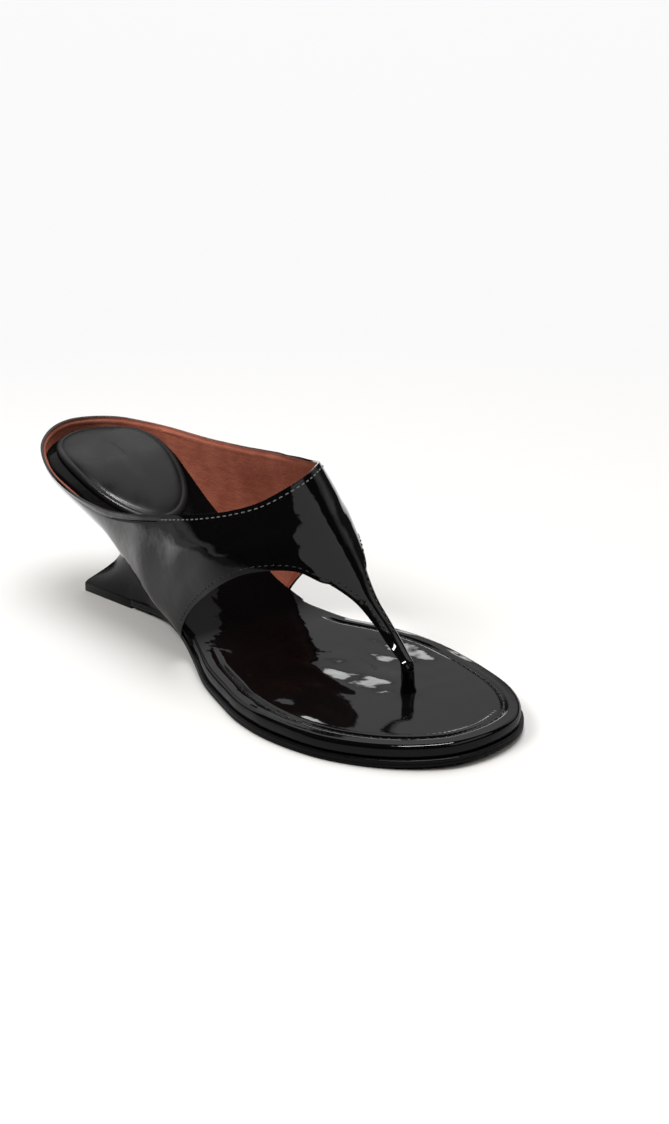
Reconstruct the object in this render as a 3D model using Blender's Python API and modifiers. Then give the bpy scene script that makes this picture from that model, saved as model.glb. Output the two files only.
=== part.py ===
"""A thong mule on a sculpted wedge heel, right shoe, modelled in metres.

+X points to the toe, +Y to the wearer's left (the inner side of this right shoe) and +Z up.
The origin is on the floor under the middle of the ball of the foot.
"""
import math
from collections import namedtuple

import bmesh
import bpy
from mathutils import Vector

MM = 0.001

# Driving dimensions
LENGTH = 230 * MM
BALL_WIDTH = 83 * MM
HEEL_WIDTH = 55.5 * MM
HEEL_HEIGHT = 50 * MM
INSTEP_HEIGHT = 70 * MM
TOE_SPRING = 1.6 * MM
ARCH_RISE = 2.4 * MM
OUTSOLE_THICKNESS = 2.6 * MM
INSOLE_THICKNESS = 4.4 * MM
UPPER_WALL = 1.6 * MM
POST_DIAMETER = 4.8 * MM
POST_CLEAR = 0.7 * MM
PAD_THICKNESS = 2.8 * MM
SEAT_TILT = 2.8 * MM
STRAP_TIP_RISE = 10.2 * MM
RIM_ROUND = 1.5 * MM
SOLE_EDGE_ROUND = 0.5 * MM
RIM_INSET = 1.0 * MM
GAP = 0.3 * MM
JOINT_GAP = 0.5 * MM
CORNER_EASE = 0.6 * MM
BACK_EASE = 0.3 * MM

# Places along the shoe, as shares of the length ahead of the ball
SPRING_START = 0.13
ARCH_START = -0.13
ARCH_END = -0.50
RAMP_START = -0.19
RAMP_END = -0.63
WAIST_TO_HEEL = -0.30
BALL_TO_WAIST = -0.10
SOLE_BACK = -0.446
RIM_MEETS_COVER = -0.228
WEDGE_TIP = -0.235
WEDGE_TIP_WIDTH = 0.80

# How finely the curves are cut into faces
STEPS_PER_RIB = 3
COVER_ROWS = 7
STRAP_STEPS = 2
OUTLINE_STEPS = 3
CORE_ROWS = 4
PAD_SIDES = 36
WELD_REACH = 0.00001
SHORT_STEP = 0.02
RIM_TURN = 50
SHARP_EDGE = 35

Rib = namedtuple("Rib", "collar belly edge")
SolePair = namedtuple("SolePair", "along outer inner")
StrapRow = namedtuple("StrapRow", "outer middle inner")
RearRib = namedtuple("RearRib", "collar_along collar_half outer_up inner_up belly_along belly_half belly_up "
                                "edge_along edge_half edge_up")

# Vamp ribs from the strap back to the waist: a point on the collar, one that the wall bulges to and
# one on the front edge. Each is a share of length, half the local width and the local height.
OUTER_VAMP = (
    Rib((-0.091, -0.145, 0.964), (-0.041, -0.164, 0.757), (-0.001, -0.157, 0.559)),
    Rib((-0.113, -0.363, 0.896), (-0.063, -0.410, 0.779), (-0.035, -0.361, 0.619)),
    Rib((-0.148, -0.531, 0.878), (-0.104, -0.651, 0.736), (-0.083, -0.593, 0.600)),
    Rib((-0.191, -0.704, 0.914), (-0.152, -0.824, 0.683), (-0.130, -0.714, 0.516)),
    Rib((-0.235, -0.859, 0.975), (-0.209, -0.993, 0.630), (-0.198, -0.812, 0.378)),
    Rib((-0.265, -0.946, 1.004), (-0.248, -1.097, 0.543), (-0.239, -0.854, 0.220)),
)
INNER_VAMP = (
    Rib((-0.109, 0.253, 1.013), (-0.057, 0.289, 0.793), (-0.001, 0.241, 0.574)),
    Rib((-0.128, 0.368, 1.007), (-0.078, 0.434, 0.786), (-0.039, 0.381, 0.643)),
    Rib((-0.150, 0.465, 1.012), (-0.109, 0.567, 0.758), (-0.083, 0.542, 0.607)),
    Rib((-0.185, 0.614, 1.047), (-0.152, 0.778, 0.720), (-0.141, 0.683, 0.531)),
    Rib((-0.230, 0.798, 1.134), (-0.213, 1.021, 0.655), (-0.217, 0.837, 0.366)),
    Rib((-0.261, 0.903, 1.189), (-0.252, 1.160, 0.567), (-0.250, 0.870, 0.226)),
)
STRAP_RIB = Rib((-0.093, 0.060, 0.996), (-0.039, 0.072, 0.779), (0.005, 0.072, 0.590))

# The strap past the vamp: its outer edge, its middle and its inner edge, down to the toe post.
STRAP = (
    StrapRow((0.028, -0.031, 0.479), (0.030, 0.084, 0.499), (0.030, 0.198, 0.469)),
    StrapRow((0.060, 0.022, 0.385), (0.061, 0.108, 0.399), (0.059, 0.197, 0.377)),
    StrapRow((0.085, 0.036, 0.307), (0.087, 0.111, 0.320), (0.088, 0.186, 0.297)),
)
# The strap's end at the toe post. Its heights are shares of the strap tip's rise over the insole.
STRAP_TIP = StrapRow((0.119, 0.024, 0.945), (0.121, 0.079, 1.0), (0.120, 0.134, 0.930))

# Ribs round the heel, one row for both sides, the last at the back of the heel. Edges stand on the
# sole where edge_up is none, and then follow the joint between the cover and the heel's foot.
ON_SOLE = None
REAR = (
    RearRib(-0.291, 0.995, 1.002, 1.213, -0.283, 1.170, 0.476, -0.263, 0.800, ON_SOLE),
    RearRib(-0.330, 1.005, 0.958, 1.192, -0.330, 1.189, 0.420, -0.304, 0.685, ON_SOLE),
    RearRib(-0.370, 1.009, 0.914, 1.168, -0.369, 1.085, 0.455, -0.346, 0.598, 0.130),
    RearRib(-0.417, 1.009, 0.878, 1.146, -0.411, 1.004, 0.538, -0.383, 0.559, 0.260),
    RearRib(-0.465, 1.013, 0.870, 1.126, -0.452, 0.924, 0.641, -0.422, 0.551, 0.388),
    RearRib(-0.515, 1.009, 0.888, 1.114, -0.493, 0.869, 0.701, -0.457, 0.533, 0.452),
    RearRib(-0.567, 0.984, 0.942, 1.108, -0.536, 0.849, 0.732, -0.477, 0.450, 0.480),
    RearRib(-0.617, 0.872, 1.008, 1.114, -0.595, 0.860, 0.748, -0.484, 0.332, 0.492),
    RearRib(-0.661, 0.659, 1.068, 1.132, -0.661, 0.724, 0.754, -0.487, 0.216, 0.498),
    RearRib(-0.689, 0.350, 1.120, 1.142, -0.713, 0.401, 0.746, -0.488, 0.105, 0.500),
)
BACK = RearRib(-0.700, 0.0, 1.142, 1.142, -0.725, 0.0, 0.744, -0.489, 0.0, 0.500)

# Half widths of the outsole on the outer and inner side, as shares of half the local width, from the
# toe's tip back to the top lift.
TOE_TIP = (0.302, 0.020)
SOLE = (
    SolePair(0.296, -0.240, 0.270),
    SolePair(0.280, -0.435, 0.460),
    SolePair(0.247, -0.650, 0.645),
    SolePair(0.200, -0.848, 0.795),
    SolePair(0.139, -1.006, 0.890),
    SolePair(0.061, -1.090, 0.954),
    SolePair(-0.009, -1.073, 0.950),
    SolePair(-0.074, -0.977, 0.873),
    SolePair(-0.139, -0.885, 0.760),
    SolePair(-0.200, -0.832, 0.780),
    SolePair(-0.252, -0.780, 0.824),
    SolePair(-0.304, -0.663, 0.700),
    SolePair(-0.365, -0.526, 0.560),
    SolePair(SOLE_BACK, -0.530, 0.530),
)

# The heel's foot below the cover. Each ring lies a share of the way down from the joint to the base,
# and has gone a share of the way from the joint's outline to the base's.
FootRing = namedtuple("FootRing", "down gone")
FOOT_RINGS = (FootRing(0.20, 0.05), FootRing(0.40, 0.21), FootRing(0.60, 0.46), FootRing(0.80, 0.74),
              FootRing(1.0, 1.0))
# Where each rib of the joint line comes down on the base, from the sole's waist to the rear corner
# and across the back: a share of length and of half the heel's width.
FootPoint = namedtuple("FootPoint", "along half")
FOOT_RIB = len(OUTER_VAMP) + 2
FOOT_LATE = 3
FOOT_BASE = (
    FootPoint(-0.306, 0.685),
    FootPoint(-0.350, 0.545),
    FootPoint(-0.405, 0.500),
    FootPoint(-0.465, 0.525),
    FootPoint(-0.520, 0.580),
    FootPoint(-0.558, 0.615),
    FootPoint(-0.5585, 0.440),
    FootPoint(-0.559, 0.280),
    FootPoint(-0.559, 0.140),
)
FOOT_BACK = FootPoint(-0.5605, 0.0)
LIFT_FRONT_HALF = 0.520

# The padded sock: its middle, half length and half width, as shares of length and half heel width,
# its middle a little to the inner side,
# and its rings, each a share of the inset and of the thickness
PAD_MIDDLE = -0.554
PAD_SIDE = 0.04
PAD_HALF_LENGTH = 0.131
PAD_HALF_WIDTH = 0.75
PAD_ROUND = 3.0 * MM
PadRing = namedtuple("PadRing", "inset rise")
PAD_RINGS = (PadRing(0.0, 0.0), PadRing(0.0, 0.45), PadRing(0.30, 0.82), PadRing(1.0, 1.0))

# The toe post: where it stands on the insole and where its middle meets the strap
POST_FOOT = (0.118, 0.098)
POST_HEAD = (0.114, 0.083)
POST_SIDES = 16


def smooth(value):
    value = min(max(value, 0.0), 1.0)
    return value * value * (3 - 2 * value)


def blend(first, second, share):
    return first + (second - first) * share


def half_width(along):
    """Half the foot's width where a point lies: the heel's behind the waist, the ball's before it."""
    share = smooth((along - WAIST_TO_HEEL) / (BALL_TO_WAIST - WAIST_TO_HEEL))
    return blend(HEEL_WIDTH, BALL_WIDTH, share) / 2


def height(along):
    """The height that shares of height follow: the heel's behind the waist, the instep's before it."""
    share = smooth((along - WAIST_TO_HEEL) / (BALL_TO_WAIST - WAIST_TO_HEEL))
    return blend(HEEL_HEIGHT, INSTEP_HEIGHT, share)


def place(along, across, up):
    return Vector((along * LENGTH, across * half_width(along), up * height(along)))


def outsole_bottom(x, y=0.0):
    along = x / LENGTH
    spring = max(along - SPRING_START, 0.0) / (TOE_TIP[0] - SPRING_START)
    arch = min(max((ARCH_START - along) / (ARCH_START - ARCH_END), 0.0), 1.0)
    return TOE_SPRING * spring ** 2 + ARCH_RISE * math.sin(math.pi * arch)


def outsole_top(x, y=0.0):
    return outsole_bottom(x) + OUTSOLE_THICKNESS


def insole_bottom(x, y=0.0):
    return insole_top(x, y) - INSOLE_THICKNESS


def insole_top(x, y=0.0):
    """The footbed's height: level across the forefoot, higher at the heel seat's inner edge."""
    along = x / LENGTH
    forefoot = OUTSOLE_THICKNESS + GAP + INSOLE_THICKNESS
    ramp = smooth((RAMP_START - along) / (RAMP_START - RAMP_END))
    lift = outsole_bottom(x) if along > RAMP_START else outsole_bottom(x) * (1 - ramp)
    tilt = SEAT_TILT * ramp * (0.5 + y / HEEL_WIDTH)
    return forefoot + lift + (HEEL_HEIGHT - forefoot) * ramp + tilt


def catmull(before, start, end, after, share):
    """A point between start and end on the smooth curve through all four."""
    square = share * share
    cube = square * share
    return 0.5 * (2 * start + (end - before) * share + (2 * before - 5 * start + 4 * end - after) * square
                  + (3 * start - before - 3 * end + after) * cube)


def rear_rib(row, side):
    collar_up = row.outer_up if side < 0 else row.inner_up
    collar = place(row.collar_along, side * row.collar_half, collar_up)
    belly = place(row.belly_along, side * row.belly_half, row.belly_up)
    edge = place(row.edge_along, side * row.edge_half, row.edge_up or 0.0)
    if row.edge_up is ON_SOLE:
        edge.z = outsole_top(edge.x) + GAP
    return Rib(collar, belly, edge)


def vamp_rib(row):
    return Rib(*(place(*point) for point in row))


def all_ribs():
    """Ribs in a closed ring: strap, outer side, back of the heel and inner side."""
    ring = [vamp_rib(STRAP_RIB)]
    ring += [vamp_rib(row) for row in OUTER_VAMP]
    ring += [rear_rib(row, -1) for row in REAR]
    ring.append(rear_rib(BACK, -1))
    ring += [rear_rib(row, 1) for row in reversed(REAR)]
    ring += [vamp_rib(row) for row in reversed(INNER_VAMP)]
    return ring


RIBS = all_ribs()
BACK_RIB = len(OUTER_VAMP) + len(REAR) + 1
COLUMNS = len(RIBS) * STEPS_PER_RIB
BACK_REACH = 4


def rib_at(turn):
    """The rib at any place round the ring, read from the smooth curves through all ribs."""
    base = math.floor(turn)
    share = turn - base
    near = [RIBS[(base + step) % len(RIBS)] for step in (-1, 0, 1, 2)]
    rib = Rib(*(catmull(*(getattr(other, part) for other in near), share) for part in Rib._fields))
    rib.edge.z = max(rib.edge.z, outsole_top(rib.edge.x) + GAP)
    return rib


def cover_point(turn, down):
    """A point on the upper's outer face: down runs from 0 at the collar to 1 at the lower edge."""
    rib = rib_at(turn)
    up = 1 - down
    return rib.collar * (up * up) + rib.belly * (2 * up * down) + rib.edge * (down * down)


def cover_normal(turn, down):
    low = max(down - SHORT_STEP, 0.0)
    high = min(down + SHORT_STEP, 1.0)
    along_rib = cover_point(turn, high) - cover_point(turn, low)
    round_ring = cover_point(turn + SHORT_STEP, down) - cover_point(turn - SHORT_STEP, down)
    return round_ring.cross(along_rib).normalized()


def inside_point(turn, down, depth):
    return cover_point(turn, down) - cover_normal(turn, down) * depth


def down_to(turn, depth, level):
    """How far down a rib its inside point meets a surface whose height is given by level(x, y)."""
    high, low = 0.0, 1.0
    for _ in range(30):
        middle = (high + low) / 2
        point = inside_point(turn, middle, depth)
        if point.z > level(point.x, point.y):
            high = middle
        else:
            low = middle
    return low


def new_material(name, colour, roughness, coat=0.0):
    material = bpy.data.materials.new(name)
    material.use_nodes = True
    shader = material.node_tree.nodes["Principled BSDF"]
    shader.inputs["Base Color"].default_value = (*colour, 1.0)
    shader.inputs["Roughness"].default_value = roughness
    shader.inputs["Coat Weight"].default_value = coat
    return material


def add_object(name, mesh, material, collection):
    thing = bpy.data.objects.new(name, mesh)
    thing.data.materials.append(material)
    collection.objects.link(thing)
    return thing


def mesh_from(name, form):
    bmesh.ops.recalc_face_normals(form, faces=form.faces)
    mesh = bpy.data.meshes.new(name)
    form.to_mesh(mesh)
    form.free()
    mesh.shade_smooth()
    mesh.set_sharp_from_angle(angle=math.radians(SHARP_EDGE))
    return mesh


def ladder(form, ring):
    """Closes a ring whose first point lies on the middle line with rungs from side to side."""
    count = len(ring)
    half = count // 2
    form.faces.new((ring[0], ring[1], ring[-1]))
    for step in range(1, half):
        if count - step - 1 > step + 1:
            form.faces.new((ring[step], ring[step + 1], ring[count - step - 1], ring[count - step]))
        elif count - step > step + 1:
            form.faces.new((ring[step], ring[step + 1], ring[count - step]))


def walls(form, rows):
    """Faces between closed rings of vertices."""
    for upper, lower in zip(rows, rows[1:]):
        for step in range(len(upper)):
            after = (step + 1) % len(upper)
            form.faces.new((upper[step], upper[after], lower[after], lower[step]))


def loft(name, rings):
    """A closed solid through rings of points, with laddered ends."""
    form = bmesh.new()
    rows = [[form.verts.new(point) for point in ring] for ring in rings]
    walls(form, rows)
    ladder(form, rows[0])
    ladder(form, rows[-1])
    return mesh_from(name, form)


def open_curve(points, steps):
    """A smooth curve through points, with the ends held."""
    held = [points[0] * 2 - points[1]] + list(points) + [points[-1] * 2 - points[-2]]
    curve = []
    for start in range(1, len(held) - 2):
        for step in range(steps):
            curve.append(catmull(held[start - 1], held[start], held[start + 1], held[start + 2], step / steps))
    curve.append(points[-1].copy())
    return curve


def sole_outline():
    """The outsole seen from above, from the tip of the toe round by the outer side to the inner."""
    tip = place(*TOE_TIP, 0.0)
    outer = [place(pair.along, pair.outer, 0.0) for pair in SOLE]
    inner = [place(pair.along, pair.inner, 0.0) for pair in SOLE]
    whole = open_curve(outer[::-1] + [tip] + inner, OUTLINE_STEPS)
    middle = len(whole) // 2
    return whole[middle::-1], whole[middle:]


def inset(ring, amount):
    """Moves each point of a flat closed ring inward by an amount."""
    area = sum(a.x * b.y - b.x * a.y for a, b in zip(ring, ring[1:] + ring[:1]))
    turn = 1.0 if area > 0 else -1.0
    moved = []
    for step, point in enumerate(ring):
        way = ring[(step + 1) % len(ring)] - ring[step - 1]
        side = Vector((-way.y, way.x, 0.0)).normalized() * turn
        moved.append(point + side * amount)
    return moved


def raised(ring, level, lift=0.0):
    return [Vector((point.x, point.y, level(point.x, point.y) + lift)) for point in ring]


def make_outsole(collection, material):
    outer, inner = sole_outline()
    ring = outer + inner[:0:-1]
    rings = (
        raised(inset(ring, SOLE_EDGE_ROUND), outsole_bottom),
        raised(ring, outsole_bottom, SOLE_EDGE_ROUND),
        raised(ring, outsole_top, -SOLE_EDGE_ROUND),
        raised(inset(ring, SOLE_EDGE_ROUND), outsole_top),
    )
    return add_object("outsole", loft("outsole", rings), material, collection)


def covered_turns(early):
    """Places round the ring from the outer waist to the inner, by way of the heel."""
    first = len(OUTER_VAMP) + 1 - early
    last = len(RIBS) - first
    return [first + step / STEPS_PER_RIB for step in range((last - first) * STEPS_PER_RIB + 1)]


def back_ease(turn):
    """A little more room behind the heel, where the cover curves most."""
    return BACK_EASE * smooth((BACK_REACH - abs(turn - BACK_RIB)) / BACK_REACH)


def insole_ring(level, shrink):
    """One level of the insole: its own rim at the forefoot, the inside of the cover behind it."""
    outer, inner = sole_outline()
    ahead = RIM_MEETS_COVER * LENGTH
    free_outer = [point for point in outer if point.x > ahead]
    free_inner = [point for point in inner if point.x > ahead]
    count = min(len(free_outer), len(free_inner))
    free = free_outer[:count] + free_inner[count - 1:0:-1]
    free = inset(free, RIM_INSET)
    hidden = []
    for turn in covered_turns(1):
        middle = len(RIBS) / 2
        early = max(abs(turn - middle) - (middle - len(OUTER_VAMP) - 2), 0.0)
        depth = UPPER_WALL + GAP + CORNER_EASE * early + back_ease(turn)
        hidden.append(inside_point(turn, down_to(turn, depth, level), depth))
    ring = raised(free[:count] + hidden + free[count:], level)
    return raised(inset(ring, shrink), level)


def make_insole(collection, material):
    turn = math.radians(RIM_TURN)

    def lower_edge(x, y):
        return insole_bottom(x, y) + SOLE_EDGE_ROUND

    def rim_start(x, y):
        return insole_top(x, y) - RIM_ROUND

    def rim_turn(x, y):
        return insole_top(x, y) - RIM_ROUND * (1 - math.sin(turn))

    rings = (
        insole_ring(insole_bottom, SOLE_EDGE_ROUND),
        insole_ring(lower_edge, 0.0),
        insole_ring(rim_start, 0.0),
        insole_ring(rim_turn, RIM_ROUND * (1 - math.cos(turn))),
        insole_ring(insole_top, RIM_ROUND),
    )
    return add_object("insole", loft("insole", rings), material, collection)


def strap_point(row, across):
    """A point of a strap row: across runs from -1 at its outer edge to 1 at its inner edge."""
    outer, middle, inner = row
    bow = middle - (outer + inner) / 2
    return blend(outer, inner, (across + 1) / 2) + bow * (1 - across * across)


def strap_rows():
    """The strap's rows from the vamp's edge down to its end over the insole."""
    rows = [StrapRow(*(place(*point) for point in row)) for row in STRAP]
    tip = []
    for along, across, rise in STRAP_TIP:
        point = place(along, across, 0.0)
        point.z = insole_top(point.x) + rise * STRAP_TIP_RISE
        tip.append(point)
    return rows + [StrapRow(*tip)]


def make_upper(collection, material):
    form = bmesh.new()
    grid = []
    for column in range(COLUMNS):
        turn = column / STEPS_PER_RIB
        if turn > len(RIBS) - 1:
            turn -= len(RIBS)
        points = [cover_point(turn, row / COVER_ROWS) for row in range(COVER_ROWS + 1)]
        grid.append(points)
    junction = StrapRow(RIBS[1].edge, RIBS[0].edge, RIBS[-1].edge)
    strap_columns = [column % COLUMNS for column in range(STEPS_PER_RIB, -STEPS_PER_RIB - 1, -1)]
    for step, column in enumerate(strap_columns):
        across = step / STEPS_PER_RIB - 1
        target = strap_point(junction, across)
        shift = target - grid[column][-1]
        for row in range(COVER_ROWS + 1):
            grid[column][row] = grid[column][row] + shift * (row / COVER_ROWS) ** 2
    verts = [[form.verts.new(point) for point in points] for points in grid]
    for column in range(COLUMNS):
        after = (column + 1) % COLUMNS
        for row in range(COVER_ROWS):
            form.faces.new((verts[column][row], verts[column][row + 1], verts[after][row + 1], verts[after][row]))
    rows = strap_rows()
    lanes = []
    for step, column in enumerate(strap_columns):
        across = step / STEPS_PER_RIB - 1
        route = [grid[column][-1]] + [strap_point(row, across) for row in rows]
        before = grid[column][-3]
        held = [before] + route + [route[-1] * 2 - route[-2]]
        lane = [verts[column][-1]]
        for start in range(1, len(held) - 2):
            for piece in range(1, STRAP_STEPS + 1):
                lane.append(form.verts.new(catmull(*held[start - 1:start + 3], piece / STRAP_STEPS)))
        lanes.append(lane)
    for lane, following in zip(lanes, lanes[1:]):
        for row in range(len(lane) - 1):
            form.faces.new((lane[row], lane[row + 1], following[row + 1], following[row]))
    bmesh.ops.recalc_face_normals(form, faces=form.faces)
    toe_face = max(form.faces, key=lambda face: face.calc_center_median().x)
    if toe_face.normal.z < 0:
        bmesh.ops.reverse_faces(form, faces=form.faces)
    mesh = bpy.data.meshes.new("upper")
    form.to_mesh(mesh)
    form.free()
    upper = add_object("upper", mesh, material, collection)
    wall = upper.modifiers.new("wall", 'SOLIDIFY')
    wall.thickness = UPPER_WALL
    wall.offset = -1.0
    wall.use_even_offset = True
    wall.use_quality_normals = True
    return upper


def core_rings():
    """The wedge inside the cover, from the underside of the insole down to the cover's lower edge."""
    def seat(x, y=0.0):
        return insole_bottom(x, y) - GAP

    def floor(x, y=0.0):
        return outsole_top(x) + GAP

    rings = [[] for _ in range(CORE_ROWS + 1)]
    for turn in covered_turns(0):
        depth = UPPER_WALL + GAP + back_ease(turn)
        end = down_to(turn, depth, floor)
        start = min(down_to(turn, depth, seat), end)
        for row, ring in enumerate(rings):
            ring.append(inside_point(turn, blend(start, end, row / CORE_ROWS), depth))
    tip_x = WEDGE_TIP * LENGTH
    for row, ring in enumerate(rings):
        outer, inner = ring[0], ring[-1]
        level = blend(seat(tip_x), floor(tip_x), row / CORE_ROWS)
        ring.append(Vector((tip_x, inner.y * WEDGE_TIP_WIDTH, level)))
        ring.insert(0, Vector((tip_x, outer.y * WEDGE_TIP_WIDTH, level)))
        ring.insert(0, Vector((tip_x, (outer.y + inner.y) / 2, level)))
    return rings


def foot_base(x):
    """What the heel stands on: the outsole, or the top lift behind it."""
    return outsole_top(max(x, SOLE_BACK * LENGTH)) + GAP


def foot_rings():
    """Open rings below the core, from its lower edge out to the joint line and down the flare."""
    half = list(FOOT_BASE)
    bases = [place(point.along, -point.half, 0.0) for point in half + [FOOT_BACK]]
    bases += [place(point.along, point.half, 0.0) for point in reversed(half)]
    rings = [[] for _ in range(len(FOOT_RINGS) + 2)]
    for step in range(FOOT_LATE, 2 * len(half) * STEPS_PER_RIB + 1 - FOOT_LATE):
        turn = FOOT_RIB + step / STEPS_PER_RIB
        here = min(step // STEPS_PER_RIB, len(bases) - 2)
        base = blend(bases[here], bases[here + 1], step / STEPS_PER_RIB - here)
        base.z = foot_base(base.x)
        edge = cover_point(turn, 1.0)
        below = (edge - cover_point(turn, 1.0 - SHORT_STEP)).normalized() * JOINT_GAP
        depth = UPPER_WALL + GAP + back_ease(turn)
        joint = (inside_point(turn, 1.0, depth) + below, edge + below)
        for ring, point in zip(rings, joint):
            point.z = max(point.z, base.z + SOLE_EDGE_ROUND)
            ring.append(point)
        for ring, row in zip(rings[2:], FOOT_RINGS):
            point = blend(joint[1], base, row.gone)
            point.z = blend(joint[1].z, base.z, row.down)
            ring.append(point)
    return rings


def make_heel(collection, material):
    """One solid: the wedge inside the cover and the flared foot that grows from its underside."""
    form = bmesh.new()
    rows = [[form.verts.new(point) for point in ring] for ring in core_rings()]
    walls(form, rows)
    ladder(form, rows[0])
    lowest = rows[-1]
    count = len(lowest)
    feet = [[form.verts.new(point) for point in ring] for ring in foot_rings()]
    front = (count - len(feet[0]) + 1) // 2
    form.faces.new((lowest[0], lowest[1], lowest[-1]))
    for step in range(1, front):
        form.faces.new((lowest[step], lowest[step + 1], lowest[count - step - 1], lowest[count - step]))
    feet.insert(0, lowest[front:count - front + 1])
    walls(form, feet)
    sole = feet[-1]
    half = len(sole) // 2
    for step in range(half - 1):
        form.faces.new((sole[step], sole[step + 1], sole[-step - 2], sole[-step - 1]))
    form.faces.new((sole[half - 1], sole[half], sole[half + 1]))
    return add_object("heel", mesh_from("heel", form), material, collection)


def make_top_lift(collection, material):
    """The wearing tip under the heel's foot, a flat outline of even thickness."""
    front_x = SOLE_BACK * LENGTH - GAP
    back = place(FOOT_BACK.along, FOOT_BASE[4].half, 0.0)
    front = place(SOLE_BACK, LIFT_FRONT_HALF, 0.0)
    outline = (
        (front_x, -front.y), (front_x, front.y), (back.x, back.y), (back.x, -back.y),
    )
    thickness = outsole_top(SOLE_BACK * LENGTH)
    curve = bpy.data.curves.new("top_lift", 'CURVE')
    curve.dimensions = '2D'
    curve.fill_mode = 'BOTH'
    curve.extrude = thickness / 2
    spline = curve.splines.new('POLY')
    spline.points.add(len(outline) - 1)
    for point, (x, y) in zip(spline.points, outline):
        point.co = (x, y, 0.0, 1.0)
    spline.use_cyclic_u = True
    lift = add_object("top_lift", curve, material, collection)
    lift.location.z = thickness / 2
    weld = lift.modifiers.new("weld", 'WELD')
    weld.merge_threshold = WELD_REACH
    corners = lift.modifiers.new("corners", 'BEVEL')
    corners.width = SOLE_EDGE_ROUND
    corners.segments = 2
    return lift


def make_heel_pad(collection, material):
    middle = PAD_MIDDLE * LENGTH
    aside = PAD_SIDE * HEEL_WIDTH / 2
    half_length = PAD_HALF_LENGTH * LENGTH
    half_across = PAD_HALF_WIDTH * HEEL_WIDTH / 2
    rings = []
    for row in PAD_RINGS:
        ring = []
        for side in range(PAD_SIDES):
            angle = 2 * math.pi * side / PAD_SIDES
            x = middle + (half_length - row.inset * PAD_ROUND) * math.cos(angle)
            y = aside + (half_across - row.inset * PAD_ROUND) * math.sin(angle)
            ring.append(Vector((x, y, insole_top(x, y) + GAP + row.rise * PAD_THICKNESS)))
        rings.append(ring)
    return add_object("heel_pad", loft("heel_pad", rings), material, collection)


def make_thong_post(collection, material):
    """The rolled toe post: it stands on the insole and is cut along the underside of the strap."""
    strap_start, strap_end = (row.middle for row in strap_rows()[-2:])
    way = (strap_end - strap_start).normalized()
    across = Vector((0.0, 1.0, 0.0))
    normal = way.cross(across)
    if normal.z < 0:
        normal = -normal
    under = strap_end - normal * (UPPER_WALL + GAP + POST_CLEAR)
    foot = place(*POST_FOOT, 0.0)
    head = place(*POST_HEAD, 0.0)
    radius = POST_DIAMETER / 2
    lower, upper = [], []
    for side in range(POST_SIDES):
        angle = 2 * math.pi * side / POST_SIDES
        reach = Vector((math.cos(angle), math.sin(angle), 0.0)) * radius
        low = foot + reach
        low.z = insole_top(low.x) + GAP
        lower.append(low)
        high = head + reach
        high.z = under.z - ((high.x - under.x) * normal.x + (high.y - under.y) * normal.y) / normal.z
        upper.append(high)
    post = add_object("thong_post", loft("thong_post", (lower, upper)), material, collection)
    return post


def remove_everything():
    for thing in list(bpy.data.objects):
        bpy.data.objects.remove(thing, do_unlink=True)


def main():
    remove_everything()
    collection = bpy.data.collections.new("thong_mule")
    bpy.context.scene.collection.children.link(collection)
    patent = new_material("patent leather", (0.012, 0.011, 0.011), 0.12, 1.0)
    sole = new_material("sole leather", (0.015, 0.014, 0.014), 0.35)
    make_outsole(collection, sole)
    make_insole(collection, patent)
    make_upper(collection, patent)
    make_heel(collection, patent)
    make_top_lift(collection, sole)
    make_heel_pad(collection, patent)
    make_thong_post(collection, patent)


main()
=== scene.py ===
"""Looks for the thong mule: patent leather skins, lining, stitching, padding, floor, light and camera.

Positions are in metres in the shoe's own frame: +X to the toe, +Y to the inner side, +Z up.
"""
import math
import random
from collections import namedtuple

import bmesh
import bpy
from mathutils import Matrix, Vector, noise


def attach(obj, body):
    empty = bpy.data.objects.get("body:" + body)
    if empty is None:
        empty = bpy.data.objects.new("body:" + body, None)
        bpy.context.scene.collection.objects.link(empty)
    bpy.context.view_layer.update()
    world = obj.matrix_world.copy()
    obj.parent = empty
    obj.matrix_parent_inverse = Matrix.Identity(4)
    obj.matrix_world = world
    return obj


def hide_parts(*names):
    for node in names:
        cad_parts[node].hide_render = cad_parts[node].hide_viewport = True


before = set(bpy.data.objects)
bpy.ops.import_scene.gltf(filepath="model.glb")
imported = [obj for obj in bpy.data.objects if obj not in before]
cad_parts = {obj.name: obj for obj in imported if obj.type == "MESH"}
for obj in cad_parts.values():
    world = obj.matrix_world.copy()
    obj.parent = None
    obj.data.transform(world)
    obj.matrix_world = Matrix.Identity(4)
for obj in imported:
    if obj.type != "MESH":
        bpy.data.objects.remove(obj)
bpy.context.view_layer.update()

MM = 0.001

# The shoe's sizes and tables, as its solids have them
LENGTH = 230 * MM
BALL_WIDTH = 83 * MM
HEEL_WIDTH = 55.5 * MM
HEEL_HEIGHT = 50 * MM
INSTEP_HEIGHT = 70 * MM
TOE_SPRING = 1.6 * MM
ARCH_RISE = 2.4 * MM
OUTSOLE_THICKNESS = 2.6 * MM
INSOLE_THICKNESS = 4.4 * MM
UPPER_WALL = 1.6 * MM
POST_DIAMETER = 4.8 * MM
SEAT_TILT = 2.8 * MM
STRAP_TIP_RISE = 10.2 * MM
RIM_ROUND = 1.8 * MM
SOLE_EDGE_ROUND = 0.5 * MM
RIM_INSET = 1.0 * MM
GAP = 0.3 * MM
JOINT_GAP = 0.15 * MM
SKIN_GAP = 0.1 * MM

SPRING_START = 0.13
ARCH_START = -0.13
ARCH_END = -0.50
RAMP_START = -0.19
RAMP_END = -0.63
WAIST_TO_HEEL = -0.30
BALL_TO_WAIST = -0.10
SOLE_BACK = -0.446
RIM_MEETS_COVER = -0.228

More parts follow.
